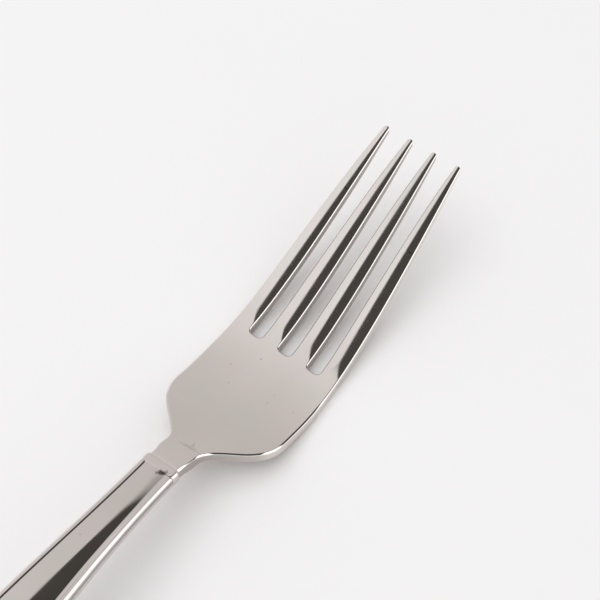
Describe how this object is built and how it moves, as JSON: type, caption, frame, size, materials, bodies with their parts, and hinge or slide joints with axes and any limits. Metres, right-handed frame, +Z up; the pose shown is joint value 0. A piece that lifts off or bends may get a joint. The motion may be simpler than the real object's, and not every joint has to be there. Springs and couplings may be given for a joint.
{
  "type": "dinner fork",
  "caption": "Polished steel table fork with a flat palm and tapering tines, a narrow collar and a hollow handle with a crowned panel inside raised rims.",
  "frame": {"origin": "on the table, under the middle of the fork's length and width", "axes": "+X along the fork to the tine tips, +Y across it, +Z up, with the fork lying on its heel and butt, tines curving up"},
  "size_m": [0.205, 0.0256, 0.0202],
  "materials": {
    "head_steel": "mirror polished stainless steel with fine use scratches",
    "ferrule_steel": "mirror polished stainless steel",
    "handle_steel": "mirror polished stainless steel with fine use scratches",
    "setting_cement": "matt setting compound",
    "silver_solder": "dull as-flowed solder"
  },
  "bodies": {
    "root": {"fork_head": "head_steel", "neck_ferrule": "ferrule_steel", "handle_front_shell": "handle_steel", "handle_back_shell": "handle_steel", "tang_cement": "setting_cement", "seam_solder": "silver_solder"}
  },
  "joints": []
}
